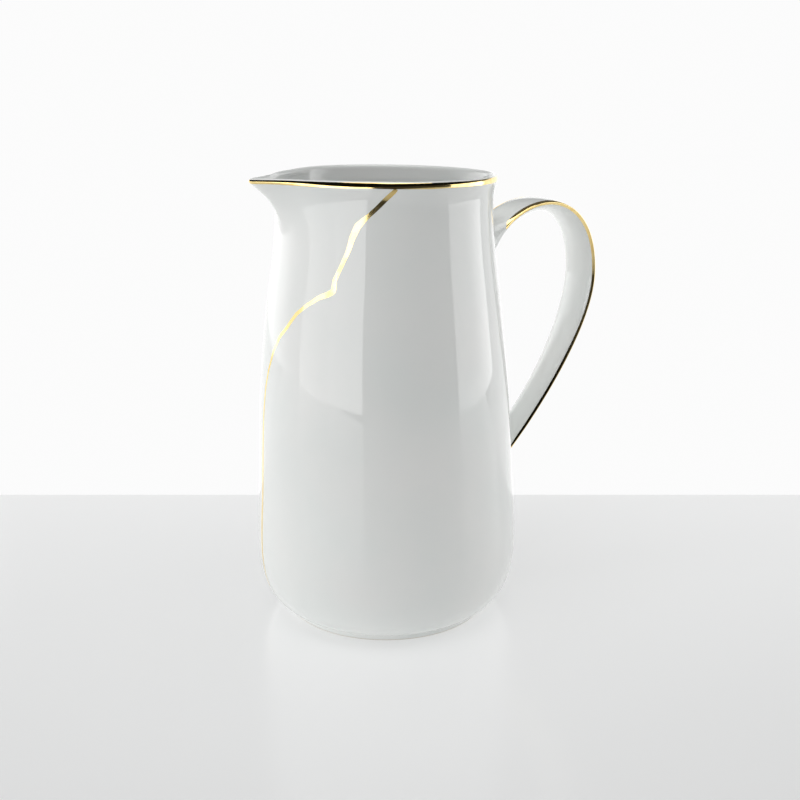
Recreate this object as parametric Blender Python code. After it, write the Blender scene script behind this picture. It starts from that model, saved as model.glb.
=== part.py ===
"""A table pitcher cast and fired as one piece of glazed porcelain.

The vessel is turned in shape, with a pulled spout and a strap handle whose two roots are
blended into the wall. It is hollow, open at the top, and stands on a low foot ring.

Axes: +Z up, the vessel's own axis at X = Y = 0 and the table at Z = 0. The spout points
towards -X and the handle towards +X, and the two sides mirror each other across Y = 0.
"""

import math

import bmesh
import bpy
from mathutils import Vector

# Vessel, in metres
BODY_HEIGHT = 0.220  # table to the crest of the rim at the spout
FOOT_RADIUS = 0.0508  # outside of the ring that touches the table
FOOT_HEIGHT = 0.0028
FOOT_RING_WIDTH = 0.0030  # the flat that touches the table
FOOT_SLANT = 0.2  # how far the ring's outside leans out, against its height
UNDERSIDE_RECESS = 0.0015  # how far the flat underside sits above the table
BELLY_RADIUS = 0.0660
BELLY_HEIGHT = 0.038
NECK_RADIUS = 0.05155
NECK_DROP = 0.014  # crest of the rim down to the narrowest place
RIM_RADIUS = 0.0534  # outermost point of the lip
NECK_CURVE = 1.5  # how late the neck turns out to the lip, 1 is halfway up
LIP_THICKNESS = 0.0029
BELLY_WALL = 0.0042
FLOOR_THICKNESS = 0.0045
RIM_TILT = 0.0009  # how much lower the rim is at the handle than at the spout
RIM_TILT_FADE = 10  # how quickly the tilt dies away down the wall

# Bottom corner, as shares of its own width and height: where it heads first, and how low
# the upright wall above would reach down
CORNER_LEAD = (0.65, 0.12)
CORNER_HOLD = 0.40

# Wall between belly and neck: share of the way up, share of the way out from neck to belly
TAPER = ((0.0, 1.0), (0.22, 0.84), (0.458, 0.65), (0.696, 0.352), (0.875, 0.098), (1.0, 0.0))

# Spout
SPOUT_REACH = 0.0151  # tip beyond the swollen neck
SPOUT_DEPTH = 0.030  # rim down to where the tip's flare begins
SPOUT_HALF_ANGLE = math.radians(36.0)
SPOUT_TIP_ANGLE = math.radians(1.3)  # rounding of the tip
SPOUT_SHARPNESS = 3.75
SPOUT_FLARE = 2.1  # how late the tip's flare turns outwards on its way up
PINCH_REACH = 0.0030  # how far the rim is drawn in on both sides of the spout
PINCH_ANGLE = math.radians(50.0)
PINCH_HALF_ANGLE = math.radians(34.0)
SWELL_REACH = 0.0031  # the soft ridge that runs down the wall below the tip
SWELL_HALF_ANGLE = math.radians(54.0)
# The ridge from belly to flare: share of the way up, share of its reach
SWELL = ((0.0, 0.0), (0.45, 0.70), (0.75, 0.95), (1.0, 0.55))

# Handle: a strap with a crowned outer face and a fuller inner face
ARCH_WIDTH = 0.0244  # from the upper root on, as far as the strap stays wide
DROP_WIDTH = 0.0185  # at the lower root
NARROWS_FROM = 0.5  # share of the strap's path at which it begins to narrow
NARROWS_UNTIL = 0.88
STRAP_CROWN = 0.0014  # outer face above the line of the edges
ARCH_BELLY = 0.0052  # inner face below the line of the edges, where the strap is wide
DROP_BELLY = 0.0042  # the same at the lower root
STRAP_FULLNESS = 1.35  # 1 is a round section, 2 has flat faces and keen edges
HANDLE_REACH = 0.1205  # vessel's axis to the outermost edge line
HANDLE_WIDEST_HEIGHT = 0.1627
ARCH_ROOT_HEIGHT = 0.180
ARCH_LEAD = (0.0200, 0.0332)  # out and up, as the strap leaves the upper root
ARCH_HOLD = 0.0472  # how long the arch stays upright above the widest place
DROP_ROOT_HEIGHT = 0.0664
DROP_LEAD = (0.0289, 0.0262)  # out and up, as the strap leaves the lower root
DROP_HOLD = 0.0273  # how long the drop stays upright below the widest place

# Roots: where the strap spreads into the wall
ARCH_FLARE_LENGTH = 0.020
ARCH_FOOTPRINT = (0.0170, 0.0222)  # half width, half height on the wall
DROP_FLARE_LENGTH = 0.013
DROP_FOOTPRINT = (0.0140, 0.0145)
ROOT_DEPTH_SHARE = 0.45  # of the wall's thickness, where the root ends inside it
ROOT_FILLET_SHARE = 0.9  # of the way it spreads, where the skin begins to turn into the wall
LANDING_ANGLE = math.radians(25.0)  # how steeply the root's skin meets the wall
ROOT_LEAVE_SHARE = 0.45  # of its way to the wall, how long the skin keeps to the strap's line

# How finely the round shapes are faceted
COARSE_STEP = math.radians(6.0)
SPOUT_STEP = math.radians(3.0)
LOWER_RINGS = 8
TAPER_RING_GAP = 0.019
NECK_RING_GAP = 0.0050
LIP_RINGS = 5
STRAP_RINGS = 24
STRAP_SIDES = 16
FLARE_RINGS = 7
CREASE_ANGLE = math.radians(40.0)  # a corner keener than this isn't shaded smooth
SEARCH_STEPS = 400  # how finely a place is looked for along a curve
SLOPE_STEP = 0.002  # share of the handle's path on each side that gives its direction

PORCELAIN_COLOUR = (0.86, 0.87, 0.86, 1.0)
GLAZE_ROUGHNESS = 0.06


def clear_scene():
    for thing in list(bpy.data.objects):
        bpy.data.objects.remove(thing, do_unlink=True)


def bezier(start, first, second, end, share):
    """Point on a cubic curve, for points given as tuples of any length."""
    rest = 1.0 - share
    weights = (rest**3, 3 * rest**2 * share, 3 * rest * share**2, share**3)
    corners = (start, first, second, end)
    return tuple(
        sum(weight * corner[axis] for weight, corner in zip(weights, corners))
        for axis in range(len(start))
    )


def smooth_through(stations, at):
    """Value at a place between stations, on cubic arcs that are level at both ends."""
    last = len(stations) - 1
    slopes = [0.0] * (last + 1)
    for i in range(1, last):
        (x0, y0), (x1, y1) = stations[i - 1], stations[i + 1]
        slopes[i] = (y1 - y0) / (x1 - x0)
    for i in range(last):
        (x0, y0), (x1, y1) = stations[i], stations[i + 1]
        if at <= x1 or i == last - 1:
            span = x1 - x0
            t = min(max((at - x0) / span, 0.0), 1.0)
            return (
                (2 * t**3 - 3 * t**2 + 1) * y0
                + (t**3 - 2 * t**2 + t) * span * slopes[i]
                + (3 * t**2 - 2 * t**3) * y1
                + (t**3 - t**2) * span * slopes[i + 1]
            )


def even_steps(start, end, gap):
    """Places from start to end, both included, at most one gap apart."""
    count = max(1, math.ceil(abs(end - start) / gap - 1e-6))
    return [start + (end - start) * i / count for i in range(count + 1)]


def smooth_step(share):
    share = min(max(share, 0.0), 1.0)
    return share * share * (3.0 - 2.0 * share)


NECK_HEIGHT = BODY_HEIGHT - NECK_DROP
LIP_RADIUS = LIP_THICKNESS / 2
LIP_HEIGHT = BODY_HEIGHT - LIP_RADIUS
FLOOR_HEIGHT = UNDERSIDE_RECESS + FLOOR_THICKNESS
FOOT_CURVE_START = (FOOT_RADIUS + FOOT_SLANT * FOOT_HEIGHT, FOOT_HEIGHT)


def lower_curve(start, end, share):
    """Rounded bottom corner of the vessel, from the foot or floor up to the belly."""
    width = end[0] - start[0]
    height = end[1] - start[1]
    first = (start[0] + CORNER_LEAD[0] * width, start[1] + CORNER_LEAD[1] * height)
    second = (end[0], start[1] + CORNER_HOLD * height)
    return bezier(start, first, second, end, share)


def taper_radius(height):
    """Outer radius between belly and neck."""
    share = (height - BELLY_HEIGHT) / (NECK_HEIGHT - BELLY_HEIGHT)
    return NECK_RADIUS + (BELLY_RADIUS - NECK_RADIUS) * smooth_through(TAPER, share)


def wall_thickness(height):
    share = (height - BELLY_HEIGHT) / (NECK_HEIGHT - BELLY_HEIGHT)
    share = min(max(share, 0.0), 1.0)
    return BELLY_WALL + (LIP_THICKNESS - BELLY_WALL) * share


def neck_flare(height):
    """Outer radius between the neck and the outermost point of the lip."""
    share = (height - NECK_HEIGHT) / (LIP_HEIGHT - NECK_HEIGHT)
    return NECK_RADIUS + (RIM_RADIUS - NECK_RADIUS) * smooth_step(share**NECK_CURVE)


def outer_stations():
    """Radius and height of each ring, from the foot ring's flat up to the lip."""
    belly = (BELLY_RADIUS, BELLY_HEIGHT)
    rings = [(FOOT_RADIUS, 0.0)]
    for i in range(LOWER_RINGS):
        rings.append(lower_curve(FOOT_CURVE_START, belly, i / LOWER_RINGS))
    flare_start = LIP_HEIGHT - SPOUT_DEPTH
    for height in even_steps(BELLY_HEIGHT, flare_start, TAPER_RING_GAP):
        rings.append((taper_radius(height), height))
    for height in even_steps(flare_start, NECK_HEIGHT, NECK_RING_GAP)[1:]:
        rings.append((taper_radius(height), height))
    for height in even_steps(NECK_HEIGHT, LIP_HEIGHT, NECK_RING_GAP)[1:]:
        rings.append((neck_flare(height), height))
    return rings


def lip_stations():
    """Half round over the top of the wall, without its two ends."""
    middle = RIM_RADIUS - LIP_RADIUS
    rings = []
    for i in range(1, LIP_RINGS):
        angle = math.pi * i / LIP_RINGS
        rings.append((middle + LIP_RADIUS * math.cos(angle), LIP_HEIGHT + LIP_RADIUS * math.sin(angle)))
    return rings


def inner_stations():
    """Radius and height of each ring inside, from the lip down to the edge of the floor."""
    rings = []
    for height in even_steps(LIP_HEIGHT, NECK_HEIGHT, NECK_RING_GAP):
        rings.append((neck_flare(height) - LIP_THICKNESS, height))
    flare_start = LIP_HEIGHT - SPOUT_DEPTH
    for height in even_steps(NECK_HEIGHT, flare_start, NECK_RING_GAP)[1:]:
        rings.append((taper_radius(height) - wall_thickness(height), height))
    for height in even_steps(flare_start, BELLY_HEIGHT, TAPER_RING_GAP)[1:]:
        rings.append((taper_radius(height) - wall_thickness(height), height))
    belly = (BELLY_RADIUS - BELLY_WALL, BELLY_HEIGHT)
    floor_edge = (FOOT_RADIUS - BELLY_WALL, FLOOR_HEIGHT)
    for i in range(LOWER_RINGS - 1, -1, -1):
        rings.append(lower_curve(floor_edge, belly, i / LOWER_RINGS))
    return rings


def foot_stations():
    """Underside from the flat recess out to the inside of the foot ring."""
    ring_inside = FOOT_RADIUS - FOOT_RING_WIDTH
    return [(ring_inside - UNDERSIDE_RECESS, UNDERSIDE_RECESS), (ring_inside, 0.0)]


def softened(angle, rounding):
    """An angle's size, with the corner at zero rounded off."""
    return math.hypot(angle, rounding) - rounding


def spout_push(height, angle):
    """How far the wall moves outwards at an angle from the spout's middle."""
    away = abs(math.remainder(angle, 2 * math.pi))
    level = min(height, LIP_HEIGHT)
    flare_start = LIP_HEIGHT - SPOUT_DEPTH
    push = 0.0
    if away < SWELL_HALF_ANGLE and level > BELLY_HEIGHT:
        across = (1.0 - (away / SWELL_HALF_ANGLE) ** 2) ** 2
        up = (level - BELLY_HEIGHT) / (flare_start - BELLY_HEIGHT)
        push += SWELL_REACH * smooth_through(SWELL, up) * across
    if level > flare_start:
        up = ((level - flare_start) / SPOUT_DEPTH) ** SPOUT_FLARE
        if away < SPOUT_HALF_ANGLE:
            edge = softened(SPOUT_HALF_ANGLE, SPOUT_TIP_ANGLE)
            across = (1.0 - softened(away, SPOUT_TIP_ANGLE) / edge) ** SPOUT_SHARPNESS
            push += SPOUT_REACH * up * across
        beside = abs(away - PINCH_ANGLE) / PINCH_HALF_ANGLE
        if beside < 1.0:
            push -= PINCH_REACH * up * (1.0 - beside**2) ** 2
    return push


def rim_lift(height, angle):
    """Height change that tilts the rim and dies away down the wall."""
    round_share = ((1.0 - math.cos(angle)) / 2) ** 2
    return -RIM_TILT * round_share * min(height / BODY_HEIGHT, 1.0) ** RIM_TILT_FADE


def wall_point(radius, height, angle):
    """Point on the vessel at an angle from the spout's middle, which faces -X."""
    pushed = radius + spout_push(height, angle)
    return Vector((
        -pushed * math.cos(angle),
        -pushed * math.sin(angle),
        height + rim_lift(height, angle),
    ))


def column_angles():
    """Angles round the vessel, closer together across the spout."""
    across_spout = even_steps(-SPOUT_HALF_ANGLE, SPOUT_HALF_ANGLE, SPOUT_STEP)
    round_back = even_steps(SPOUT_HALF_ANGLE, 2 * math.pi - SPOUT_HALF_ANGLE, COARSE_STEP)
    return across_spout + round_back[1:-1]


def skin_between(shape, lower, upper):
    """Faces between two closed rings of the same length."""
    for i in range(len(lower)):
        after = (i + 1) % len(lower)
        shape.faces.new((lower[i], lower[after], upper[after], upper[i]))


def fan_onto(shape, ring, centre):
    """Triangles from a closed ring to one point."""
    for i in range(len(ring)):
        shape.faces.new((ring[i], ring[(i + 1) % len(ring)], centre))


def finish_object(name, shape, material):
    bmesh.ops.recalc_face_normals(shape, faces=shape.faces)
    mesh = bpy.data.meshes.new(name)
    shape.to_mesh(mesh)
    shape.free()
    mesh.materials.append(material)
    mesh.shade_smooth()
    mesh.set_sharp_from_angle(angle=CREASE_ANGLE)
    thing = bpy.data.objects.new(name, mesh)
    bpy.context.scene.collection.objects.link(thing)
    return thing


def make_vessel(material):
    """Foot, outer wall, lip, inner wall and floor as one closed skin."""
    shape = bmesh.new()
    angles = column_angles()
    stations = foot_stations() + outer_stations() + lip_stations() + inner_stations()
    rings = [
        [shape.verts.new(wall_point(radius, height, angle)) for angle in angles]
        for radius, height in stations
    ]
    for lower, upper in zip(rings, rings[1:]):
        skin_between(shape, lower, upper)
    underside = shape.verts.new((0.0, 0.0, UNDERSIDE_RECESS))
    floor = shape.verts.new((0.0, 0.0, FLOOR_HEIGHT))
    fan_onto(shape, rings[0], underside)
    fan_onto(shape, rings[-1], floor)
    return finish_object("pitcher", shape, material)


def vessel_radius(height):
    """Outer radius on the handle's side, where the spout doesn't reach."""
    if height < BELLY_HEIGHT:
        belly = (BELLY_RADIUS, BELLY_HEIGHT)
        places = [i / SEARCH_STEPS for i in range(SEARCH_STEPS + 1)]
        curve = [lower_curve(FOOT_CURVE_START, belly, place) for place in places]
        return min(curve, key=lambda point: abs(point[1] - height))[0]
    if height < NECK_HEIGHT:
        return taper_radius(height)
    return neck_flare(min(height, LIP_HEIGHT))


def handle_path(share):
    """Place of the strap's edge line in the XZ plane, from the upper root (0) to the lower (1)."""
    widest = (HANDLE_REACH, HANDLE_WIDEST_HEIGHT)
    if share < 0.5:
        root = (vessel_radius(ARCH_ROOT_HEIGHT), ARCH_ROOT_HEIGHT)
        lead = (root[0] + ARCH_LEAD[0], root[1] + ARCH_LEAD[1])
        return bezier(root, lead, (widest[0], widest[1] + ARCH_HOLD), widest, 2 * share)
    root = (vessel_radius(DROP_ROOT_HEIGHT), DROP_ROOT_HEIGHT)
    lead = (root[0] + DROP_LEAD[0], root[1] + DROP_LEAD[1])
    return bezier(widest, (widest[0], widest[1] - DROP_HOLD), lead, root, 2 * share - 1)


def clear_of_wall(share):
    """How far the strap's edge line stands off the wall."""
    out, height = handle_path(share)
    return out - vessel_radius(height)


def path_share_at(clearance, from_share, towards):
    """First place along the path that stands off the wall by the clearance."""
    for i in range(SEARCH_STEPS + 1):
        share = from_share + towards * 0.5 * i / SEARCH_STEPS
        if clear_of_wall(share) >= clearance:
            return share
    return from_share + towards * 0.5


def path_direction(share):
    before = handle_path(max(share - SLOPE_STEP, 0.0))
    after = handle_path(min(share + SLOPE_STEP, 1.0))
    return Vector((after[0] - before[0], 0.0, after[1] - before[1])).normalized()


def strap_section(share):
    """Ring of points across the strap: crowned outside, fuller inside."""
    out, height = handle_path(share)
    direction = path_direction(share)
    outward = Vector((-direction.z, 0.0, direction.x))
    narrowed = smooth_step((share - NARROWS_FROM) / (NARROWS_UNTIL - NARROWS_FROM))
    width = ARCH_WIDTH + (DROP_WIDTH - ARCH_WIDTH) * narrowed
    belly = ARCH_BELLY + (DROP_BELLY - ARCH_BELLY) * narrowed
    ring = []
    for i in range(STRAP_SIDES):
        angle = 2 * math.pi * i / STRAP_SIDES
        across = width / 2 * math.cos(angle)
        fullness = abs(math.sin(angle)) ** STRAP_FULLNESS
        rise = STRAP_CROWN * fullness if math.sin(angle) > 0 else -belly * fullness
        ring.append(Vector((out, across, height)) + outward * rise)
    return ring, direction, outward


def point_in_wall(height, sideways, depth):
    """Point on the handle's side of the wall, and the way straight out of it."""
    radius = vessel_radius(height)
    angle = sideways / radius
    out = Vector((math.cos(angle), math.sin(angle), 0.0))
    return out * (radius - depth) + Vector((0.0, 0.0, height)), out


def flare_to_wall(share, root_height, footprint, towards_root):
    """Rings that spread the strap's section into a rounded footprint inside the wall."""
    section, direction, outward = strap_section(share)
    depth = ROOT_DEPTH_SHARE * wall_thickness(root_height)
    upwards = 1.0 if outward.z > 0 else -1.0
    middle, _ = point_in_wall(root_height, 0.0, depth)
    centre = sum(section, Vector()) / STRAP_SIDES
    rings = [[] for _ in range(FLARE_RINGS)]
    for i, start in enumerate(section):
        angle = 2 * math.pi * i / STRAP_SIDES
        sideways = footprint[0] * math.cos(angle)
        height = root_height + upwards * footprint[1] * math.sin(angle)
        end, out = point_in_wall(height, sideways, depth)
        spread = end - middle
        spread -= out * spread.dot(out)
        fillet = ROOT_FILLET_SHARE * (spread.length - (start - centre).length)
        arrival = spread.normalized() * math.cos(LANDING_ANGLE) - out * math.sin(LANDING_ANGLE)
        reach = (end - start).length
        leave = start + direction * towards_root * ROOT_LEAVE_SHARE * reach
        meet = end - arrival * fillet
        for step in range(FLARE_RINGS):
            point = bezier(start, leave, meet, end, (step + 1) / FLARE_RINGS)
            rings[step].append(Vector(point))
    return rings, middle


def make_handle(material):
    """The strap with both roots, each ending in a cap inside the wall."""
    first = path_share_at(ARCH_FLARE_LENGTH, 0.0, 1)
    last = path_share_at(DROP_FLARE_LENGTH, 1.0, -1)
    sections = [
        strap_section(first + (last - first) * i / STRAP_RINGS)[0] for i in range(STRAP_RINGS + 1)
    ]
    arch, arch_middle = flare_to_wall(first, ARCH_ROOT_HEIGHT, ARCH_FOOTPRINT, -1)
    drop, drop_middle = flare_to_wall(last, DROP_ROOT_HEIGHT, DROP_FOOTPRINT, 1)
    shape = bmesh.new()
    rings = [[shape.verts.new(point) for point in ring] for ring in arch[::-1] + sections + drop]
    for lower, upper in zip(rings, rings[1:]):
        skin_between(shape, lower, upper)
    fan_onto(shape, rings[0], shape.verts.new(arch_middle))
    fan_onto(shape, rings[-1], shape.verts.new(drop_middle))
    return finish_object("handle_blank", shape, material)


def join_handle(vessel, handle):
    """One body: the handle is a guide that the union takes in."""
    handle.hide_render = True
    handle.display_type = "WIRE"
    union = vessel.modifiers.new("handle", "BOOLEAN")
    union.operation = "UNION"
    union.solver = "EXACT"
    union.object = handle


def glazed_porcelain():
    material = bpy.data.materials.new("glazed_porcelain")
    material.use_nodes = True
    shader = material.node_tree.nodes["Principled BSDF"]
    shader.inputs["Base Color"].default_value = PORCELAIN_COLOUR
    shader.inputs["Roughness"].default_value = GLAZE_ROUGHNESS
    shader.inputs["Metallic"].default_value = 0.0
    return material


clear_scene()
porcelain = glazed_porcelain()
vessel = make_vessel(porcelain)
join_handle(vessel, make_handle(porcelain))
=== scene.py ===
"""Looks of a white porcelain table pitcher with fired gold on its rim, handle and mended crack.

The frame gives the solid that the pitcher's skin stands for. Lengths are in metres in the
frame's own axes: the vessel's axis at X = Y = 0, the table at Z = 0, the spout towards -X and
the handle towards +X.
"""

import math

import bpy
from mathutils import Matrix, Vector


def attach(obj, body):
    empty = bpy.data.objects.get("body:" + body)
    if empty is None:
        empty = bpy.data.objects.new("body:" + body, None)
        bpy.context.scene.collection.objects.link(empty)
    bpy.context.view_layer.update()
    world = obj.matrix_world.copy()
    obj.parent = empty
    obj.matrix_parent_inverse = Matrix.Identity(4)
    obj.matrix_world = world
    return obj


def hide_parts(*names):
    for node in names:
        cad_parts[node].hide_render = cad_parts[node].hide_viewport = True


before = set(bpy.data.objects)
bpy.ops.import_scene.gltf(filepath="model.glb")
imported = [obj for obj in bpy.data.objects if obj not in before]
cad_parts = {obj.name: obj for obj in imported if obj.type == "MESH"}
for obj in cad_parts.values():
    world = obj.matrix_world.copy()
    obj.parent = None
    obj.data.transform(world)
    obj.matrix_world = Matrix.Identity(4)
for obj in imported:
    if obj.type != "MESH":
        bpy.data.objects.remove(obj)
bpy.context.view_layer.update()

# Vessel
# The body is slip-cast porcelain, fired once and then dipped in clear glaze. It is one thin
# wall from the foot ring up to a rounded lip, pulled out into a spout on one side.

BODY_HEIGHT = 0.220
FOOT_RADIUS = 0.0508
FOOT_HEIGHT = 0.0028
FOOT_RING_WIDTH = 0.0030
FOOT_SLANT = 0.2
FOOT_ROUNDING = 0.0006
UNDERSIDE_RECESS = 0.0015
BELLY_RADIUS = 0.0660
BELLY_HEIGHT = 0.038
NECK_RADIUS = 0.05155
NECK_DROP = 0.014
NECK_CURVE = 1.5
RIM_RADIUS = 0.0534
LIP_THICKNESS = 0.0029
LIP_RISE = 0.0029  # the lip is rounded over this much of its height, as half an ellipse
BELLY_WALL = 0.0042
FLOOR_THICKNESS = 0.0045
RIM_TILT = 0.0009
RIM_TILT_FADE = 10
CORNER_LEAD = (0.65, 0.12)
CORNER_HOLD = 0.40
TAPER = ((0.0, 1.0), (0.22, 0.84), (0.458, 0.65), (0.696, 0.352), (0.875, 0.098), (1.0, 0.0))

SPOUT_REACH = 0.0151
SPOUT_DEPTH = 0.030
SPOUT_HALF_ANGLE = math.radians(36.0)
SPOUT_TIP_ANGLE = math.radians(1.3)
SPOUT_SHARPNESS = 3.75
SPOUT_FLARE = 2.1
PINCH_REACH = 0.0030
PINCH_ANGLE = math.radians(50.0)
PINCH_HALF_ANGLE = math.radians(34.0)
SWELL_REACH = 0.0031
SWELL_HALF_ANGLE = math.radians(54.0)
SWELL = ((0.0, 0.0), (0.45, 0.70), (0.75, 0.95), (1.0, 0.55))

NECK_HEIGHT = BODY_HEIGHT - NECK_DROP
LIP_RADIUS = LIP_THICKNESS / 2
LIP_HEIGHT = BODY_HEIGHT - LIP_RADIUS
LIP_START = BODY_HEIGHT - LIP_RISE
FLARE_START = LIP_HEIGHT - SPOUT_DEPTH
FLOOR_HEIGHT = UNDERSIDE_RECESS + FLOOR_THICKNESS

# Spacing of the skin's rings up the wall and of its columns round it
WALL_GAP = 0.0018
NECK_GAP = 0.0008
CORNER_RINGS = 32
LIP_RINGS = 12
FOOT_RINGS = 6
UNDERSIDE_SHARES = (0.4, 0.8)
FLOOR_SHARES = (0.75, 0.4)
SPOUT_STEP = math.radians(0.9)
ROUND_STEP = math.radians(2.0)


def bezier(start, first, second, end, share):
    """Point on a cubic curve between two places given as tuples or vectors."""
    rest = 1.0 - share
    weights = (rest**3, 3 * rest**2 * share, 3 * rest * share**2, share**3)
    corners = (start, first, second, end)
    return tuple(
        sum(weight * corner[axis] for weight, corner in zip(weights, corners))
        for axis in range(len(start))
    )


def smooth_step(share):
    share = min(max(share, 0.0), 1.0)
    return share * share * (3.0 - 2.0 * share)


def smooth_through(stations, at):
    """Value at a place between stations, on cubic arcs that are level at both ends."""
    last = len(stations) - 1
    slopes = [0.0] * (last + 1)
    for i in range(1, last):
        (x0, y0), (x1, y1) = stations[i - 1], stations[i + 1]
        slopes[i] = (y1 - y0) / (x1 - x0)
    for i in range(last):
        (x0, y0), (x1, y1) = stations[i], stations[i + 1]
        if at <= x1 or i == last - 1:
            span = x1 - x0
            t = min(max((at - x0) / span, 0.0), 1.0)
            return (
                (2 * t**3 - 3 * t**2 + 1) * y0
                + (t**3 - 2 * t**2 + t) * span * slopes[i]
                + (3 * t**2 - 2 * t**3) * y1
                + (t**3 - t**2) * span * slopes[i + 1]
            )


def even_steps(start, end, gap):
    """Places from start to end, both included, at most one gap apart."""
    count = max(1, math.ceil(abs(end - start) / gap - 1e-6))
    return [start + (end - start) * i / count for i in range(count + 1)]


def corner_curve(start, end, share):
    """Rounded bottom corner, from the foot or the floor up to the belly."""
    width = end[0] - start[0]
    height = end[1] - start[1]
    first = (start[0] + CORNER_LEAD[0] * width, start[1] + CORNER_LEAD[1] * height)
    second = (end[0], start[1] + CORNER_HOLD * height)
    return bezier(start, first, second, end, share)


def wall_radius(height):
    """Outer radius from the belly up to the outermost point of the lip."""
    if height > NECK_HEIGHT:
        share = (min(height, LIP_HEIGHT) - NECK_HEIGHT) / (LIP_HEIGHT - NECK_HEIGHT)
        return NECK_RADIUS + (RIM_RADIUS - NECK_RADIUS) * smooth_step(share**NECK_CURVE)
    share = (height - BELLY_HEIGHT) / (NECK_HEIGHT - BELLY_HEIGHT)
    return NECK_RADIUS + (BELLY_RADIUS - NECK_RADIUS) * smooth_through(TAPER, share)


def wall_thickness(height):
    share = (height - BELLY_HEIGHT) / (NECK_HEIGHT - BELLY_HEIGHT)
    share = min(max(share, 0.0), 1.0)
    return BELLY_WALL + (LIP_THICKNESS - BELLY_WALL) * share


def spout_push(height, angle):
    """How far the wall moves outwards at an angle from the spout's middle."""
    away = abs(math.remainder(angle, 2 * math.pi))
    level = min(height, LIP_HEIGHT)
    push = 0.0
    if away < SWELL_HALF_ANGLE and level > BELLY_HEIGHT:
        across = (1.0 - (away / SWELL_HALF_ANGLE) ** 2) ** 2
        up = (level - BELLY_HEIGHT) / (FLARE_START - BELLY_HEIGHT)
        push += SWELL_REACH * smooth_through(SWELL, up) * across
    if level > FLARE_START:
        up = ((level - FLARE_START) / SPOUT_DEPTH) ** SPOUT_FLARE
        if away < SPOUT_HALF_ANGLE:
            softened = math.hypot(away, SPOUT_TIP_ANGLE) - SPOUT_TIP_ANGLE
            edge = math.hypot(SPOUT_HALF_ANGLE, SPOUT_TIP_ANGLE) - SPOUT_TIP_ANGLE
            push += SPOUT_REACH * up * (1.0 - softened / edge) ** SPOUT_SHARPNESS
        beside = abs(away - PINCH_ANGLE) / PINCH_HALF_ANGLE
        if beside < 1.0:
            push -= PINCH_REACH * up * (1.0 - beside**2) ** 2
    return push


def wall_point(radius, height, angle):
    """Point on the vessel at an angle from the spout's middle, which faces -X."""
    pushed = radius + spout_push(height, angle)
    round_share = ((1.0 - math.cos(angle)) / 2) ** 2
    drop = RIM_TILT * round_share * min(height / BODY_HEIGHT, 1.0) ** RIM_TILT_FADE
    return Vector((-pushed * math.cos(angle), -pushed * math.sin(angle), height - drop))


def lip_point(turn, inside):
    """Radius and height on the rounded lip, from its outer or inner start (0) to the crest."""
    height = LIP_START + LIP_RISE * math.sin(turn)
    inwards = LIP_RADIUS * (1.0 - math.cos(turn))
    if inside:
        inwards = LIP_THICKNESS - inwards
    return wall_radius(height) - inwards, height


def turned_profile():
    """Radius and height of every ring, from the underside out, up, over the lip and down."""
    ring_inside = FOOT_RADIUS - FOOT_RING_WIDTH
    profile = [(ring_inside * share, UNDERSIDE_RECESS) for share in UNDERSIDE_SHARES]
    profile.append((ring_inside - UNDERSIDE_RECESS, UNDERSIDE_RECESS))
    profile.append((ring_inside - 0.3 * FOOT_ROUNDING, 0.3 * FOOT_ROUNDING))
    profile.append((ring_inside + FOOT_ROUNDING, 0.0))
    for i in range(FOOT_RINGS + 1):
        turn = 0.5 * math.pi * i / FOOT_RINGS
        profile.append((
            FOOT_RADIUS - FOOT_ROUNDING * (1.0 - math.sin(turn)),
            FOOT_ROUNDING * (1.0 - math.cos(turn)),
        ))
    foot_top = (FOOT_RADIUS + FOOT_SLANT * FOOT_HEIGHT, FOOT_HEIGHT)
    belly = (BELLY_RADIUS, BELLY_HEIGHT)
    for i in range(CORNER_RINGS):
        profile.append(corner_curve(foot_top, belly, i / CORNER_RINGS))
    heights = even_steps(BELLY_HEIGHT, FLARE_START, WALL_GAP)
    heights += even_steps(FLARE_START, LIP_START, NECK_GAP)[1:]
    profile += [(wall_radius(height), height) for height in heights]
    lip_turns = [0.5 * math.pi * i / LIP_RINGS for i in range(1, LIP_RINGS + 1)]
    profile += [lip_point(turn, False) for turn in lip_turns]
    profile += [lip_point(turn, True) for turn in lip_turns[-2::-1]]
    profile += [(wall_radius(height) - wall_thickness(height), height) for height in heights[::-1]]
    floor_edge = (FOOT_RADIUS - BELLY_WALL, FLOOR_HEIGHT)
    inner_belly = (BELLY_RADIUS - BELLY_WALL, BELLY_HEIGHT)
    for i in range(CORNER_RINGS - 1, -1, -1):
        profile.append(corner_curve(floor_edge, inner_belly, i / CORNER_RINGS))
    profile += [(floor_edge[0] * share, FLOOR_HEIGHT) for share in FLOOR_SHARES]
    return profile


def skin_of(rings, closed_round):
    """Faces between neighbouring rings, as numbers of their points in one long list."""
    faces = []
    width = len(rings[0])
    for row in range(len(rings) - 1):
        for i in range(width if closed_round else width - 1):
            after = (i + 1) % width
            faces.append((
                row * width + i,
                row * width + after,
                (row + 1) * width + after,
                (row + 1) * width + i,
            ))
    return faces


def capped_shell(rings, first_centre, last_centre):
    """Points and faces of a closed body: rings joined in order, with a fan on each end."""
    points = [point for ring in rings for point in ring] + [first_centre, last_centre]
    faces = skin_of(rings, True)
    width = len(rings[0])
    start = (len(rings) - 1) * width
    for i in range(width):
        after = (i + 1) % width
        faces.append((after, i, len(points) - 2))
        faces.append((start + i, start + after, len(points) - 1))
    return points, faces


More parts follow.
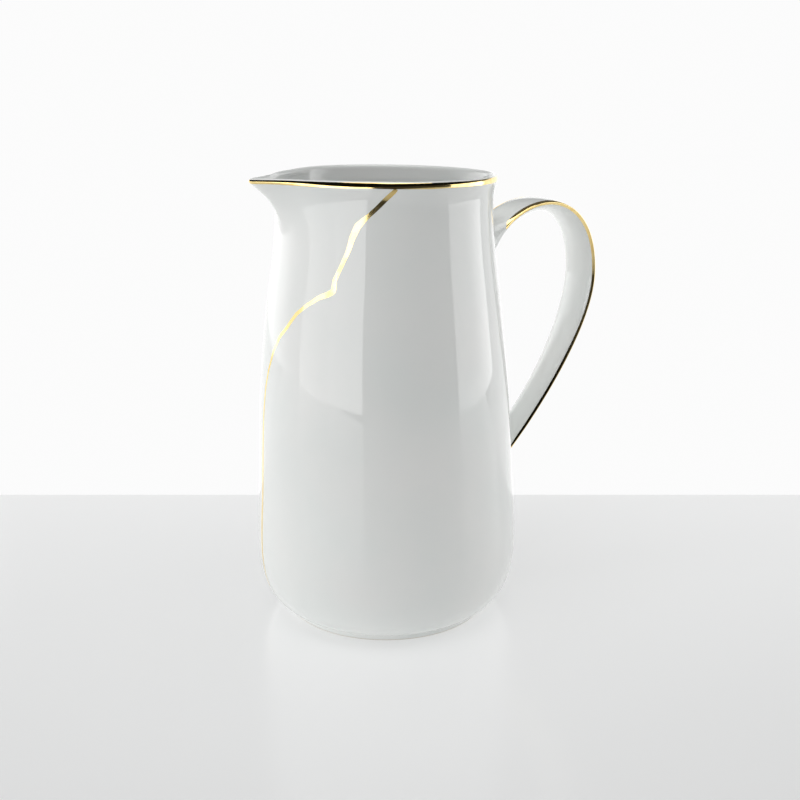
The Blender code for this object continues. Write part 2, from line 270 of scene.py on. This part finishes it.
spout_angles = even_steps(-SPOUT_HALF_ANGLE, SPOUT_HALF_ANGLE, SPOUT_STEP)
round_angles = even_steps(SPOUT_HALF_ANGLE, 2 * math.pi - SPOUT_HALF_ANGLE, ROUND_STEP)[1:-1]
vessel_rings = [
    [wall_point(radius, height, angle) for angle in spout_angles + round_angles]
    for radius, height in turned_profile()
]
vessel_points, vessel_faces = capped_shell(
    vessel_rings,
    Vector((0.0, 0.0, UNDERSIDE_RECESS)),
    Vector((0.0, 0.0, FLOOR_HEIGHT)),
)

# Handle
# A pulled strap of the same clay, crowned outside and fuller inside, stuck on with slip while
# the clay was leather-hard. Both roots are sponged into the wall before the glaze goes on.

ARCH_WIDTH = 0.0244
DROP_WIDTH = 0.0185
NARROWS_FROM = 0.5
NARROWS_UNTIL = 0.88
STRAP_CROWN = 0.0014
ARCH_BELLY = 0.0052
DROP_BELLY = 0.0042
STRAP_FULLNESS = 1.35
HANDLE_REACH = 0.1205
HANDLE_WIDEST_HEIGHT = 0.1627
ARCH_ROOT_HEIGHT = 0.180
ARCH_LEAD = (0.0200, 0.0332)
ARCH_HOLD = 0.0472
DROP_ROOT_HEIGHT = 0.0664
DROP_LEAD = (0.0289, 0.0262)
DROP_HOLD = 0.0273
ARCH_FLARE_LENGTH = 0.020
ARCH_FOOTPRINT = (0.0170, 0.0222)
DROP_FLARE_LENGTH = 0.013
DROP_FOOTPRINT = (0.0140, 0.0145)
ROOT_FILLET_SHARE = 0.9
ROOT_LEAVE_SHARE = 0.45
ROOT_SINK = 0.00002  # the root's last ring lies this far under the wall's surface
SEARCH_STEPS = 400
SLOPE_STEP = 0.002
STRAP_RINGS = 110
FLARE_RINGS = 26
STRAP_SIDES = 64


def handle_path(share):
    """Place of the strap's edge line in the XZ plane, from the upper root (0) to the lower (1)."""
    widest = (HANDLE_REACH, HANDLE_WIDEST_HEIGHT)
    if share < 0.5:
        root = (wall_radius(ARCH_ROOT_HEIGHT), ARCH_ROOT_HEIGHT)
        lead = (root[0] + ARCH_LEAD[0], root[1] + ARCH_LEAD[1])
        return bezier(root, lead, (widest[0], widest[1] + ARCH_HOLD), widest, 2 * share)
    root = (wall_radius(DROP_ROOT_HEIGHT), DROP_ROOT_HEIGHT)
    lead = (root[0] + DROP_LEAD[0], root[1] + DROP_LEAD[1])
    return bezier(widest, (widest[0], widest[1] - DROP_HOLD), lead, root, 2 * share - 1)


def share_clear_of_wall(clearance, from_share, towards):
    """First place along the path that stands off the wall by the clearance."""
    for i in range(SEARCH_STEPS + 1):
        share = from_share + towards * 0.5 * i / SEARCH_STEPS
        out, height = handle_path(share)
        if out - wall_radius(height) >= clearance:
            return share
    return from_share + towards * 0.5


def strap_point(share, turn):
    """Point on the strap's skin, its direction and its centre. A turn of 0 is the +Y edge."""
    out, height = handle_path(share)
    before = handle_path(max(share - SLOPE_STEP, 0.0))
    after = handle_path(min(share + SLOPE_STEP, 1.0))
    direction = Vector((after[0] - before[0], 0.0, after[1] - before[1])).normalized()
    outward = Vector((-direction.z, 0.0, direction.x))
    narrowed = smooth_step((share - NARROWS_FROM) / (NARROWS_UNTIL - NARROWS_FROM))
    width = ARCH_WIDTH + (DROP_WIDTH - ARCH_WIDTH) * narrowed
    belly = ARCH_BELLY + (DROP_BELLY - ARCH_BELLY) * narrowed
    fullness = abs(math.sin(turn)) ** STRAP_FULLNESS
    rise = STRAP_CROWN * fullness if math.sin(turn) > 0 else -belly * fullness
    centre = Vector((out, 0.0, height)) + outward * (STRAP_CROWN - belly) / STRAP_FULLNESS / 2
    point = Vector((out, width / 2 * math.cos(turn), height)) + outward * rise
    return point, direction, centre, outward


def root_point(share, turn, root_height, footprint, towards_root, way):
    """Point on the skin between the strap's end (way 0) and the wall (way 1)."""
    start, direction, centre, outward = strap_point(share, turn)
    upwards = 1.0 if outward.z > 0 else -1.0
    height = root_height + upwards * footprint[1] * math.sin(turn)
    radius = wall_radius(height)
    angle = footprint[0] * math.cos(turn) / radius
    out = Vector((math.cos(angle), math.sin(angle), 0.0))
    end = out * (radius - ROOT_SINK) + Vector((0.0, 0.0, height))
    middle = Vector((wall_radius(root_height), 0.0, root_height))
    lean = (wall_radius(height + NECK_GAP) - wall_radius(height - NECK_GAP)) / (2 * NECK_GAP)
    square = (out - Vector((0.0, 0.0, lean))).normalized()
    spread = end - middle
    spread -= square * spread.dot(square)
    fillet = ROOT_FILLET_SHARE * (spread.length - (start - centre).length)
    reach = (end - start).length
    leave = start + direction * towards_root * ROOT_LEAVE_SHARE * reach
    meet = end - spread.normalized() * fillet
    return Vector(bezier(start, leave, meet, end, way))


ARCH_END = share_clear_of_wall(ARCH_FLARE_LENGTH, 0.0, 1)
DROP_END = share_clear_of_wall(DROP_FLARE_LENGTH, 1.0, -1)


def handle_point(along, turn):
    """Skin of the handle: -1 to 0 is the upper root, 0 to 1 the strap, 1 to 2 the lower root."""
    if along < 0.0:
        return root_point(ARCH_END, turn, ARCH_ROOT_HEIGHT, ARCH_FOOTPRINT, -1, -along)
    if along > 1.0:
        return root_point(DROP_END, turn, DROP_ROOT_HEIGHT, DROP_FOOTPRINT, 1, along - 1.0)
    return strap_point(ARCH_END + (DROP_END - ARCH_END) * along, turn)[0]


def root_cap(height):
    """Where a root's hidden end closes, halfway through the wall."""
    return Vector((wall_radius(height) - wall_thickness(height) / 2, 0.0, height))


stops = [-1.0 + i / FLARE_RINGS for i in range(FLARE_RINGS)]
stops += [i / STRAP_RINGS for i in range(STRAP_RINGS)]
stops += [1.0 + i / FLARE_RINGS for i in range(FLARE_RINGS + 1)]
turns = [2 * math.pi * i / STRAP_SIDES for i in range(STRAP_SIDES)]
handle_rings = [[handle_point(along, turn) for turn in turns] for along in stops]
handle_points, handle_faces = capped_shell(
    handle_rings,
    root_cap(ARCH_ROOT_HEIGHT),
    root_cap(DROP_ROOT_HEIGHT),
)

# Glaze and bare foot
# Clear feldspathic glaze over white porcelain: glass-smooth, very faintly green where it lies
# thick, with slow ripples from the dip. The foot ring was wiped clean, so it fires matt.

BODY_WHITE = "#F4F5F3"
THICK_GLAZE = "#F0F3F1"
BARE_WHITE = "#E4E1DA"
BARE_GRIT = "#D6D1C8"
GLAZE_CLOUD = 0.045  # metres from one thicker patch of glaze to the next
GLAZE_RIPPLE = 0.014
GLAZE_RIPPLE_DEPTH = 0.00003
BARE_GRAIN = 0.0004
BARE_GRAIN_DEPTH = 0.00002
FOOT_WIPE_HEIGHT = 0.0009  # the glaze stops this far above the table
CREASE_ANGLE = math.radians(50.0)  # a corner keener than this isn't shaded smooth


def linear(hex_colour):
    """The shader's own colour for an sRGB hex value."""
    channels = []
    for i in (1, 3, 5):
        value = int(hex_colour[i:i + 2], 16) / 255
        channels.append(value / 12.92 if value <= 0.04045 else ((value + 0.055) / 1.055) ** 2.4)
    return (*channels, 1.0)


def add_node(tree, kind, settings, links):
    """One node with its settings, and its inputs set to values or joined to other sockets."""
    node = tree.nodes.new(kind)
    for name, value in settings.items():
        setattr(node, name, value)
    for name, value in links.items():
        if isinstance(value, bpy.types.NodeSocket):
            tree.links.new(value, node.inputs[name])
        else:
            node.inputs[name].default_value = value
    return node


def new_material(name):
    material = bpy.data.materials.new(name)
    material.use_nodes = True
    material.node_tree.nodes.clear()
    return material, material.node_tree


def finish_material(tree, links):
    shader = add_node(tree, "ShaderNodeBsdfPrincipled", {}, links)
    add_node(tree, "ShaderNodeOutputMaterial", {}, {"Surface": shader.outputs["BSDF"]})


glaze, tree = new_material("clear_glazed_porcelain")
place = add_node(tree, "ShaderNodeTexCoord", {}, {}).outputs["Object"]
cloud = add_node(tree, "ShaderNodeTexNoise", {}, {
    "Vector": place,
    "Scale": 1.0 / GLAZE_CLOUD,
    "Detail": 3.0,
    "Roughness": 0.5,
})
tint = add_node(tree, "ShaderNodeValToRGB", {}, {"Fac": cloud.outputs["Fac"]})
tint.color_ramp.elements[0].position = 0.35
tint.color_ramp.elements[0].color = linear(THICK_GLAZE)
tint.color_ramp.elements[1].position = 0.65
tint.color_ramp.elements[1].color = linear(BODY_WHITE)
ripple = add_node(tree, "ShaderNodeTexNoise", {}, {
    "Vector": place,
    "Scale": 1.0 / GLAZE_RIPPLE,
    "Detail": 2.0,
    "Roughness": 0.4,
})
bump = add_node(tree, "ShaderNodeBump", {}, {
    "Height": ripple.outputs["Fac"],
    "Strength": 1.0,
    "Distance": GLAZE_RIPPLE_DEPTH,
})
finish_material(tree, {
    "Base Color": tint.outputs["Color"],
    "Roughness": 0.035,
    "IOR": 1.52,
    "Normal": bump.outputs["Normal"],
})

bare_clay, tree = new_material("unglazed_porcelain_foot")
place = add_node(tree, "ShaderNodeTexCoord", {}, {}).outputs["Object"]
grit = add_node(tree, "ShaderNodeTexNoise", {}, {
    "Vector": place,
    "Scale": 1.0 / BARE_GRAIN,
    "Detail": 4.0,
    "Roughness": 0.65,
})
tint = add_node(tree, "ShaderNodeValToRGB", {}, {"Fac": grit.outputs["Fac"]})
tint.color_ramp.elements[0].position = 0.40
tint.color_ramp.elements[0].color = linear(BARE_GRIT)
tint.color_ramp.elements[1].position = 0.60
tint.color_ramp.elements[1].color = linear(BARE_WHITE)
bump = add_node(tree, "ShaderNodeBump", {}, {
    "Height": grit.outputs["Fac"],
    "Strength": 1.0,
    "Distance": BARE_GRAIN_DEPTH,
})
finish_material(tree, {
    "Base Color": tint.outputs["Color"],
    "Roughness": 0.72,
    "IOR": 1.5,
    "Normal": bump.outputs["Normal"],
})


def new_piece(name, points, faces, *materials):
    """A smooth-shaded piece that rides with the one body of the pitcher."""
    mesh = bpy.data.meshes.new(name)
    mesh.from_pydata(points, [], faces)
    mesh.validate()
    for material in materials:
        mesh.materials.append(material)
    mesh.shade_smooth()
    mesh.set_sharp_from_angle(angle=CREASE_ANGLE)
    piece = bpy.data.objects.new(name, mesh)
    bpy.context.scene.collection.objects.link(piece)
    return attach(piece, "root")


handle_start = len(vessel_points)
casting = new_piece(
    "porcelain_casting",
    vessel_points + handle_points,
    vessel_faces + [tuple(handle_start + corner for corner in face) for face in handle_faces],
    glaze,
    bare_clay,
)
wiped_from = FOOT_RADIUS - FOOT_RING_WIDTH - FOOT_WIPE_HEIGHT
for face in casting.data.polygons:
    low_down = face.center.z < FOOT_WIPE_HEIGHT
    face.material_index = 1 if low_down and face.center.xy.length > wiped_from else 0
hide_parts("pitcher")

# Gold on the rim
# Liquid bright gold, brushed round the turning pot and fired a third time. It covers the
# outside of the lip and stops just short of the crest, which stays a thin white line.

GOLD_BRIGHT = "#FCE3A0"
GOLD_DEEP = "#F3D184"
GOLD_STROKE = 0.0006  # metres between the brush's streaks
GOLD_STROKE_DEPTH = 0.000004
GOLD_PATCH = 0.006
GOLD_STANDS = 0.00005  # thickness of the fired film, drawn a little thick so that it shows
GOLD_TUCK = 0.00003  # its edge runs this far into the glaze

BAND_LOW = 0.2170
BAND_TOP_TURN = math.radians(54.0)
BAND_ROWS = 14
BAND_COLUMNS = 720
BAND_WOBBLE = 0.00008  # how far the painted lower edge wanders
SPOUT_BAND_SHARE = 0.6  # how wide the band is at the spout's tip

gold, tree = new_material("fired_bright_gold")
place = add_node(tree, "ShaderNodeTexCoord", {}, {}).outputs["Object"]
patch = add_node(tree, "ShaderNodeTexNoise", {}, {
    "Vector": place,
    "Scale": 1.0 / GOLD_PATCH,
    "Detail": 3.0,
    "Roughness": 0.55,
})
tint = add_node(tree, "ShaderNodeValToRGB", {}, {"Fac": patch.outputs["Fac"]})
tint.color_ramp.elements[0].position = 0.30
tint.color_ramp.elements[0].color = linear(GOLD_DEEP)
tint.color_ramp.elements[1].position = 0.55
tint.color_ramp.elements[1].color = linear(GOLD_BRIGHT)
streak = add_node(tree, "ShaderNodeTexNoise", {}, {
    "Vector": place,
    "Scale": 1.0 / GOLD_STROKE,
    "Detail": 2.0,
    "Roughness": 0.5,
})
sheen = add_node(tree, "ShaderNodeMapRange", {}, {
    "Value": patch.outputs["Fac"],
    "From Min": 0.35,
    "From Max": 0.65,
    "To Min": 0.07,
    "To Max": 0.13,
})
bump = add_node(tree, "ShaderNodeBump", {}, {
    "Height": streak.outputs["Fac"],
    "Strength": 1.0,
    "Distance": GOLD_STROKE_DEPTH,
})
finish_material(tree, {
    "Base Color": tint.outputs["Color"],
    "Metallic": 1.0,
    "Roughness": sheen.outputs["Result"],
    "Normal": bump.outputs["Normal"],
})


def film_over(grid, closed_round):
    """A thin flat film on a grid of surface points, with walls down into the glaze round it."""
    rows = len(grid)
    columns = len(grid[0])
    row_order = [0] + list(range(rows)) + [rows - 1]
    column_order = list(range(columns))
    if not closed_round:
        column_order = [0] + column_order + [columns - 1]
    lifted = []
    for number, row in enumerate(row_order):
        line = []
        for spot, i in enumerate(column_order):
            if closed_round:
                beside = grid[row][(i + 1) % columns] - grid[row][i - 1]
            else:
                beside = grid[row][min(i + 1, columns - 1)] - grid[row][max(i - 1, 0)]
            along = grid[min(row + 1, rows - 1)][i] - grid[max(row - 1, 0)][i]
            out = beside.cross(along).normalized()
            border = number in (0, rows + 1)
            border = border or (not closed_round and spot in (0, columns + 1))
            line.append(grid[row][i] + out * (-GOLD_TUCK if border else GOLD_STANDS))
        lifted.append(line)
    return [point for line in lifted for point in line], skin_of(lifted, closed_round)


def rim_profile(share, low):
    """Radius and height on the outside of the lip, from the band's lower edge to its upper."""
    turns_from = math.asin(max(low - LIP_START, 0.0) / LIP_RISE)
    if low >= LIP_START:
        return lip_point(turns_from + (BAND_TOP_TURN - turns_from) * share, False)
    below = LIP_START - low
    way = share * (below + LIP_RISE * BAND_TOP_TURN)
    if way < below:
        return wall_radius(low + way), low + way
    return lip_point((way - below) / LIP_RISE, False)


def band_low(angle):
    """Height of the band's lower edge, with the hand's wander and the narrowing at the spout."""
    wander = math.sin(3 * angle + 0.4) + 0.6 * math.sin(7 * angle + 1.9)
    wander += 0.4 * math.sin(16 * angle)
    away = abs(math.remainder(angle, 2 * math.pi)) / SPOUT_HALF_ANGLE
    narrow = (1.0 - SPOUT_BAND_SHARE) * (1.0 - smooth_step(away))
    return BAND_LOW + BAND_WOBBLE * wander + narrow * LIP_RADIUS


band_angles = [2 * math.pi * i / BAND_COLUMNS for i in range(BAND_COLUMNS)]
band_grid = []
for row in range(BAND_ROWS + 1):
    line = []
    for angle in band_angles:
        radius, height = rim_profile(row / BAND_ROWS, band_low(angle))
        line.append(wall_point(radius, height, angle))
    band_grid.append(line)
rim_band = new_piece("gold_rim_band", *film_over(band_grid, True), gold)

# Gold on the handle's edges
# The same gold, drawn with a loaded brush along both edges of the strap. Each line starts in
# a round end on the upper root and runs down into the lower one.

EDGE_GOLD_OUTSIDE = 0.0026  # how far it reaches over the crowned face
EDGE_GOLD_INSIDE = 0.0015  # how far it reaches over the inner face
EDGE_ROUND_END = 0.0016
EDGE_THINNEST = 0.1  # the round end closes to this share of the width
EDGE_START = -0.32  # places along the handle, as handle_point takes them
EDGE_STOP = 1.45
HAND_SLOW = (0.06, 0.013)  # share by which the stroke's width sways, and over what length
HAND_QUICK = (0.03, 0.0063)
EDGE_LINES = 360
EDGE_ROWS = 12
TURN_STEP = math.radians(0.5)


def turn_at_reach(along, edge, side, reach):
    """Turn at which the skin lies a given way round from the strap's edge."""
    turn = 0.0
    way = 0.0
    last = handle_point(along, edge)
    while way < reach:
        turn += TURN_STEP
        point = handle_point(along, edge + side * turn)
        way += (point - last).length
        last = point
    return side * turn


for edge, side, name in (
    (0.0, 1.0, "gold_handle_edge_left"),
    (math.pi, -1.0, "gold_handle_edge_right"),
):
    grid = []
    middles = [
        handle_point(EDGE_START + (EDGE_STOP - EDGE_START) * i / EDGE_LINES, edge)
        for i in range(EDGE_LINES + 1)
    ]
    ways = [0.0]
    for before, after in zip(middles, middles[1:]):
        ways.append(ways[-1] + (after - before).length)
    for i in range(EDGE_LINES + 1):
        along = EDGE_START + (EDGE_STOP - EDGE_START) * i / EDGE_LINES
        to_end = min(ways[i], ways[-1] - ways[i]) / EDGE_ROUND_END
        fill = math.sqrt(max(1.0 - (1.0 - min(to_end, 1.0)) ** 2, EDGE_THINNEST**2))
        hand = 1.0 + HAND_SLOW[0] * math.sin(ways[i] / HAND_SLOW[1] + edge)
        hand += HAND_QUICK[0] * math.sin(ways[i] / HAND_QUICK[1])
        outer = turn_at_reach(along, edge, side, EDGE_GOLD_OUTSIDE * fill * hand)
        inner = turn_at_reach(along, edge, -side, EDGE_GOLD_INSIDE * fill * hand)
        first, last = (inner, outer) if side > 0 else (outer, inner)
        grid.append([
            handle_point(along, edge + first + (last - first) * k / EDGE_ROWS)
            for k in range(EDGE_ROWS + 1)
        ])
    edge_gold = new_piece(name, *film_over(grid, False), gold)

# Mended crack
# A crack filled with gold, as in the old craft of mending bowls with lacquer and gold. It
# leaves the rim on the front, kinks twice, passes under the spout and runs down to the foot.

# Angle from the spout's middle in degrees, height in mm, width in mm, from the top down
CRACK = (
    (66.1, 216.9, 1.4),
    (65.0, 215.9, 1.9),
    (60.9, 212.4, 2.0),
    (52.6, 205.3, 1.9),
    (49.3, 202.7, 2.4),
    (47.0, 200.6, 3.0),
    (44.3, 195.3, 2.6),
    (42.0, 188.7, 1.9),
    (38.0, 180.5, 1.6),
    (36.2, 176.5, 2.0),
    (35.8, 172.0, 2.3),
    (34.9, 171.2, 2.5),
    (32.9, 170.1, 2.5),
    (28.0, 168.2, 2.0),
    (22.6, 164.7, 1.6),
    (16.6, 159.9, 1.8),
    (11.1, 153.0, 1.7),
    (5.7, 147.3, 1.7),
    (2.0, 141.0, 1.6),
    (-2.5, 130.0, 1.4),
    (-5.0, 122.0, 1.5),
    (-6.5, 112.0, 1.6),
    (-8.0, 95.0, 2.2),
    (-9.0, 75.0, 2.6),
    (-9.5, 52.0, 2.8),
    (-10.0, 34.0, 2.4),
    (-9.5, 24.0, 1.8),
    (-9.0, 16.0, 0.6),
)
CRACK_STEP = 0.0005
CRACK_ROWS = 8
CRACK_LOOK = 3  # the line's direction is taken over this many steps each way
HALVINGS = 30
CRACK_WANDER = 0.00006  # how far its edges stray


def outer_point(angle, height):
    """Point on the outside of the vessel, also below the belly."""
    if height >= BELLY_HEIGHT:
        return wall_point(wall_radius(height), height, angle)
    foot_top = (FOOT_RADIUS + FOOT_SLANT * FOOT_HEIGHT, FOOT_HEIGHT)
    belly = (BELLY_RADIUS, BELLY_HEIGHT)
    low = 0.0
    high = 1.0
    for _ in range(HALVINGS):
        half = (low + high) / 2
        if corner_curve(foot_top, belly, half)[1] < height:
            low = half
        else:
            high = half
    return wall_point(corner_curve(foot_top, belly, low)[0], height, angle)


crack_line = []
for (angle0, height0, width0), (angle1, height1, width1) in zip(CRACK, CRACK[1:]):
    start = outer_point(math.radians(angle0), height0 / 1000)
    end = outer_point(math.radians(angle1), height1 / 1000)
    count = max(2, round((end - start).length / CRACK_STEP))
    for i in range(count):
        share = i / count
        crack_line.append((
            math.radians(angle0 + (angle1 - angle0) * share),
            (height0 + (height1 - height0) * share) / 1000,
            (width0 + (width1 - width0) * share) / 1000,
        ))
crack_line.append((math.radians(CRACK[-1][0]), CRACK[-1][1] / 1000, CRACK[-1][2] / 1000))
crack_grid = []
for i, (angle, height, width) in enumerate(crack_line):
    before = crack_line[max(i - CRACK_LOOK, 0)]
    after = crack_line[min(i + CRACK_LOOK, len(crack_line) - 1)]
    radius = outer_point(angle, height).xy.length
    run = Vector(((after[0] - before[0]) * radius, after[1] - before[1])).normalized()
    stray = CRACK_WANDER * (math.sin(i * 0.11) + 0.7 * math.sin(i * 0.29 + 1.0))
    line = []
    for k in range(CRACK_ROWS + 1):
        aside = width * (0.5 - k / CRACK_ROWS) + stray
        line.append(outer_point(angle - run.y * aside / radius, height + run.x * aside))
    crack_grid.append(line)
crack = new_piece("gold_mended_crack", *film_over(crack_grid, False), gold)

# Table and white surround
# A table top of translucent white acrylic, polished. Its emission is a painted glow in place of
# lamps beneath it, strongest at the back and none at the front. It ends 150 mm behind the pitcher's
# axis, in front of an evenly white backdrop.

VIEW_TURN = math.radians(-30.0)  # the camera looks along this turn from +Y
TABLE_BEHIND = 0.150
TABLE_BEFORE = 0.90
TABLE_HALF_WIDTH = 1.20
TABLE_THICKNESS = 0.012
TABLE_WHITE = "#BFC0C0"
# Strength of the table's painted glow, an emission in place of lamps beneath it, at the back and at
# the front
TABLE_PAINTED_GLOW_BACK = 0.50
TABLE_PAINTED_GLOW_FRONT = 0.0
TABLE_CLOUD = 0.30


def in_studio(right, away, up):
    """A place given to the right of the pitcher, away from the camera and up."""
    return Matrix.Rotation(VIEW_TURN, 4, "Z") @ Vector((right, away, up))


acrylic, tree = new_material("white_acrylic_painted_light")
place = add_node(tree, "ShaderNodeTexCoord", {}, {}).outputs["Object"]
cloud = add_node(tree, "ShaderNodeTexNoise", {}, {
    "Vector": place,
    "Scale": 1.0 / TABLE_CLOUD,
    "Detail": 2.0,
})
gloss = add_node(tree, "ShaderNodeMapRange", {}, {
    "Value": cloud.outputs["Fac"],
    "To Min": 0.16,
    "To Max": 0.20,
})
depth = add_node(tree, "ShaderNodeVectorMath", {"operation": "DOT_PRODUCT"}, {})
tree.links.new(place, depth.inputs[0])
depth.inputs[1].default_value = in_studio(0.0, 1.0, 0.0)
# Painted glow: the table's emission stands in for light from beneath, fading from the back to none
# at the front
painted_table_glow = add_node(tree, "ShaderNodeMapRange", {}, {
    "Value": depth.outputs["Value"],
    "From Min": -TABLE_BEFORE,
    "From Max": TABLE_BEHIND,
    "To Min": TABLE_PAINTED_GLOW_FRONT,
    "To Max": TABLE_PAINTED_GLOW_BACK,
})
finish_material(tree, {
    "Base Color": linear(TABLE_WHITE),
    "Roughness": gloss.outputs["Result"],
    "IOR": 1.49,
    "Specular IOR Level": 0.30,
    "Emission Color": (1.0, 1.0, 1.0, 1.0),
    "Emission Strength": painted_table_glow.outputs["Result"],
})
corners = []
for up in (-TABLE_THICKNESS, 0.0):
    for right, away in ((-1, -1), (1, -1), (1, 1), (-1, 1)):
        corners.append(in_studio(
            right * TABLE_HALF_WIDTH,
            TABLE_BEHIND if away > 0 else -TABLE_BEFORE,
            up,
        ))
sides = [(i, (i + 1) % 4, (i + 1) % 4 + 4, i + 4) for i in range(4)]
table_mesh = bpy.data.meshes.new("table_top")
table_mesh.from_pydata(corners, [], [(3, 2, 1, 0), (4, 5, 6, 7)] + sides)
table_mesh.materials.append(acrylic)
table = bpy.data.objects.new("table_top", table_mesh)
bpy.context.scene.collection.objects.link(table)

# Light
# A white backdrop behind, and on the left three soft boxes side by side, brightest towards the
# camera. One more stands on the right and one hangs overhead. The rest of the room is dark,
# which the gold picks up as black.

SURROUND_WHITE = 0.97
BACK_LIGHT = 1.2
ROOM_DARK = 0.04
TOP_BOX_SIDE = 1.10
TOP_BOX_HEIGHT = 1.20
TOP_BOX_BRIGHTNESS = 2.3
SOFT_BOXES = (
    # azimuth from the camera's side towards the right, half width, distance, height, brightness
    (-30.0, 12.4, 1.10, 0.42, 2.7),
    (-58.0, 16.0, 1.05, 0.46, 2.3),
    (-112.0, 38.0, 1.00, 0.52, 1.1),
    (92.0, 24.0, 0.80, 0.45, 2.0),
)

world = bpy.data.worlds.new("white_studio")
world.use_nodes = True
bpy.context.scene.world = world
tree = world.node_tree
tree.nodes.clear()
toward = add_node(tree, "ShaderNodeTexCoord", {}, {}).outputs["Generated"]
behind = add_node(tree, "ShaderNodeVectorMath", {"operation": "DOT_PRODUCT"}, {})
tree.links.new(toward, behind.inputs[0])
behind.inputs[1].default_value = in_studio(0.0, 1.0, 0.0)
backdrop = add_node(tree, "ShaderNodeMapRange", {"interpolation_type": "SMOOTHSTEP"}, {
    "Value": behind.outputs["Value"],
    "From Min": 0.0,
    "From Max": 0.45,
    "To Min": ROOM_DARK,
    "To Max": BACK_LIGHT,
})
rise = add_node(tree, "ShaderNodeSeparateXYZ", {}, {"Vector": toward})
low = add_node(tree, "ShaderNodeMapRange", {"interpolation_type": "SMOOTHSTEP"}, {
    "Value": rise.outputs["Z"],
    "From Min": 0.18,
    "From Max": 0.32,
    "To Min": 1.0,
    "To Max": 0.08,
})
glow = add_node(tree, "ShaderNodeMath", {"operation": "MULTIPLY"}, {})
tree.links.new(backdrop.outputs["Result"], glow.inputs[0])
tree.links.new(low.outputs["Result"], glow.inputs[1])
room = add_node(tree, "ShaderNodeBackground", {}, {"Strength": glow.outputs["Value"]})
seen = add_node(tree, "ShaderNodeBackground", {}, {"Strength": SURROUND_WHITE})
seen.inputs["Color"].default_value = (1.0, 1.0, 1.0, 1.0)
room.inputs["Color"].default_value = (1.0, 1.0, 1.0, 1.0)
eye = add_node(tree, "ShaderNodeLightPath", {}, {}).outputs["Is Camera Ray"]
either = add_node(tree, "ShaderNodeMixShader", {}, {"Fac": eye})
tree.links.new(room.outputs["Background"], either.inputs[1])
tree.links.new(seen.outputs["Background"], either.inputs[2])
add_node(tree, "ShaderNodeOutputWorld", {}, {"Surface": either.outputs["Shader"]})


def add_soft_box(name, place, width, height, brightness):
    """A flat white light, unseen by the camera. Brightness 1 is as bright as the backdrop."""
    lamp = bpy.data.lights.new(name, "AREA")
    lamp.shape = "RECTANGLE"
    lamp.size = width
    lamp.size_y = height
    lamp.energy = brightness * math.pi * width * height
    box = bpy.data.objects.new(name, lamp)
    box.location = place
    box.visible_camera = False
    bpy.context.scene.collection.objects.link(box)
    return box


for number, (azimuth, half, distance, tall, brightness) in enumerate(SOFT_BOXES):
    turn = math.radians(azimuth)
    place = in_studio(distance * math.sin(turn), -distance * math.cos(turn), tall / 2)
    width = 2 * distance * math.tan(math.radians(half))
    box = add_soft_box(f"soft_box_{number}", place, width, tall, brightness)
    towards = Vector((-place.x, -place.y, 0.0))
    box.rotation_euler = towards.to_track_quat("-Z", "Y").to_euler()
add_soft_box(
    "top_box", in_studio(0.0, -0.25, TOP_BOX_HEIGHT), TOP_BOX_SIDE, TOP_BOX_SIDE, TOP_BOX_BRIGHTNESS
)

# Camera
# It stands 0.56 m in front of the pitcher, a little above the rim, and looks slightly down at
# the photograph's angle. The lens is a normal one of about 52 mm.

camera_data = bpy.data.cameras.new("camera")
camera_data.lens = 52.11
camera_data.sensor_width = 36.0
camera_data.clip_start = 0.01
camera = bpy.data.objects.new("camera", camera_data)
camera.location = (-0.27396, -0.48846, 0.2665)
camera.rotation_euler = (math.radians(74.11), 0.0, math.radians(-30.0))
bpy.context.scene.collection.objects.link(camera)
bpy.context.scene.camera = camera
bpy.context.scene.view_settings.view_transform = "Standard"
bpy.context.scene.view_settings.look = "None"
